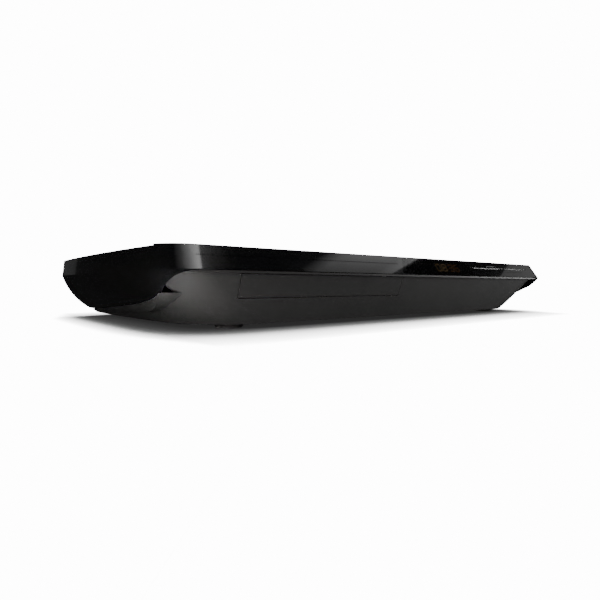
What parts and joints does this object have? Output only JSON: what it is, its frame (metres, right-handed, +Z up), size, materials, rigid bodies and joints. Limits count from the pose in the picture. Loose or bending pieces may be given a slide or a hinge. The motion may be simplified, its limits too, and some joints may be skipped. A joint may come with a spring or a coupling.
{
  "type": "blu-ray player",
  "caption": "Slim full-width disc player with a glossy slanting front band over an undercut matte body, sliding disc tray and rear sockets.",
  "frame": {"origin": "centre of the bounding box's footprint, on the surface that the feet stand on", "axes": "+X to the right seen from the front, +Y to the rear, +Z up; the front faces -Y"},
  "size_m": [0.435, 0.2245, 0.049],
  "materials": {
    "gloss_black": "polished piano black",
    "matte_dark": "fine spark texture",
    "smoked": "smoked acrylic",
    "cover_paint": "textured black paint",
    "zinc_steel": "galvanised sheet",
    "rubber_black": "matt",
    "inner_plastic": "moulded",
    "white_plastic": "moulded acetal",
    "board_green": "solder mask",
    "chip_black": "epoxy",
    "alu": "anodised",
    "can_blue": "sleeve",
    "copper_tape": "winding tape",
    "bright_steel": "ground",
    "socket_metal": "plated",
    "cable_white": "flat cable",
    "magnet_grey": "plated magnet",
    "lens_clear": "coated lens"
  },
  "bodies": {
    "casing": {"front_bezel": "gloss_black", "wing_left": "gloss_black", "wing_right": "gloss_black", "display_lens": "smoked", "lower_body": "matte_dark", "top_cover": "cover_paint", "base_plate": "zinc_steel", "rear_panel": "cover_paint", "rubber_feet": "rubber_black", "rear_screws": "cover_paint", "front_board": "board_green", "display_module": "inner_plastic", "tact_switches": "chip_black", "main_board": "board_green", "power_board": "board_green", "board_pillars": "bright_steel", "inner_screws": "bright_steel", "memory_chips": "chip_black", "board_capacitors": "can_blue", "processor": "chip_black", "heat_sink": "alu", "transformer": "copper_tape", "bulk_capacitor": "can_blue", "mains_choke": "copper_tape", "heat_fin": "alu", "front_ribbon": "cable_white", "drive_flat_cable": "cable_white", "supply_harness": "white_plastic", "lan_socket": "socket_metal", "usb_socket": "socket_metal", "hdmi_socket": "socket_metal", "coax_jack": "socket_metal", "audio_jacks": "socket_metal", "mains_inlet": "inner_plastic", "loader_dampers": "rubber_black", "loader_frame": "inner_plastic", "loading_motor": "bright_steel", "drive_belt": "rubber_black", "clamp_bridge": "zinc_steel"},
    "tray": {"disc_tray": "inner_plastic", "tray_fascia": "matte_dark"},
    "tray_gear": {"tray_gear": "white_plastic"},
    "pulley_gear": {"pulley_gear": "white_plastic"},
    "motor_pulley": {"motor_pulley": "white_plastic"},
    "traverse": {"traverse_frame": "zinc_steel", "spindle_motor": "bright_steel", "guide_rods": "bright_steel", "sled_motor": "bright_steel"},
    "cam_slider": {"cam_slider": "white_plastic"},
    "turntable": {"turntable": "inner_plastic"},
    "clamper": {"clamper": "inner_plastic", "clamp_magnet": "magnet_grey"},
    "sled": {"pickup_sled": "inner_plastic"},
    "lens": {"objective_lens": "lens_clear"},
    "sled_gear": {"sled_gear": "white_plastic"},
    "sled_pinion": {"sled_pinion": "white_plastic"},
    "standby_key": {"standby_key": "gloss_black"},
    "tray_key": {"tray_key": "gloss_black"},
    "play_key": {"play_key": "gloss_black"},
    "stop_key": {"stop_key": "gloss_black"}
  },
  "joints": [
    {"name": "tray_slide", "type": "slide", "parent": "casing", "child": "tray", "axis": [0, -1, 0], "range_m": [0, 0.14]},
    {"name": "tray_gear_turn", "type": "hinge", "parent": "casing", "child": "tray_gear", "pos_m": [-0.136, -0.06825, 0.015], "axis": [0, 0, 1], "range_deg": [0, 670]},
    {"name": "pulley_gear_turn", "type": "hinge", "parent": "casing", "child": "pulley_gear", "pos_m": [-0.11958, -0.07265, 0.011], "axis": [0, 0, 1], "range_deg": [-1606, 0]},
    {"name": "motor_pulley_turn", "type": "hinge", "parent": "casing", "child": "motor_pulley", "pos_m": [-0.089, -0.07265, 0.01], "axis": [0, 0, 1], "range_deg": [-4590, 0]},
    {"name": "traverse_tilt", "type": "hinge", "parent": "casing", "child": "traverse", "pos_m": [-0.093, 0.06575, 0.0105], "axis": [-1, 0, 0], "range_deg": [0, 3.8]},
    {"name": "cam_slide", "type": "slide", "parent": "casing", "child": "cam_slider", "axis": [1, 0, 0], "range_m": [0, 0.0121]},
    {"name": "turntable_spin", "type": "hinge", "parent": "traverse", "child": "turntable", "pos_m": [-0.093, -0.03225, 0.015], "axis": [0, 0, 1], "continuous": true},
    {"name": "clamper_spin", "type": "hinge", "parent": "casing", "child": "clamper", "pos_m": [-0.093, -0.03225, 0.033], "axis": [0, 0, 1], "continuous": true},
    {"name": "sled_slide", "type": "slide", "parent": "traverse", "child": "sled", "axis": [0, 1, 0], "range_m": [0, 0.036]},
    {"name": "sled_gear_turn", "type": "hinge", "parent": "traverse", "child": "sled_gear", "pos_m": [-0.0498, 0.02475, 0.013], "axis": [0, 0, 1], "range_deg": [-345, 0]},
    {"name": "sled_pinion_turn", "type": "hinge", "parent": "traverse", "child": "sled_pinion", "pos_m": [-0.0408, 0.02475, 0.013], "axis": [0, 0, 1], "range_deg": [0, 690]},
    {"name": "lens_focus", "type": "slide", "parent": "sled", "child": "lens", "axis": [0, 0, 1], "range_m": [-0.0003, 0.0003], "stiffness_N_per_m": 60},
    {"name": "standby_key_press", "type": "slide", "parent": "casing", "child": "standby_key", "axis": [0, 0.8487, -0.5289], "range_m": [0, 0.0005], "stiffness_N_per_m": 400},
    {"name": "tray_key_press", "type": "slide", "parent": "casing", "child": "tray_key", "axis": [0, 0.8487, -0.5289], "range_m": [0, 0.0005], "stiffness_N_per_m": 400},
    {"name": "play_key_press", "type": "slide", "parent": "casing", "child": "play_key", "axis": [0, 0.8487, -0.5289], "range_m": [0, 0.0005], "stiffness_N_per_m": 400},
    {"name": "stop_key_press", "type": "slide", "parent": "casing", "child": "stop_key", "axis": [0, 0.8487, -0.5289], "range_m": [0, 0.0005], "stiffness_N_per_m": 400}
  ],
  "couplings": [
    {"joint": "tray_gear_turn", "follows": "tray_slide", "rad_per_m": 83.333},
    {"joint": "pulley_gear_turn", "follows": "tray_slide", "rad_per_m": -200},
    {"joint": "motor_pulley_turn", "follows": "tray_slide", "rad_per_m": -571.43},
    {"joint": "cam_slide", "follows": "traverse_tilt", "m_per_rad": 0.18093},
    {"joint": "clamper_spin", "follows": "turntable_spin", "ratio": 1},
    {"joint": "sled_gear_turn", "follows": "sled_slide", "rad_per_m": -166.67},
    {"joint": "sled_pinion_turn", "follows": "sled_slide", "rad_per_m": 333.33}
  ]
}
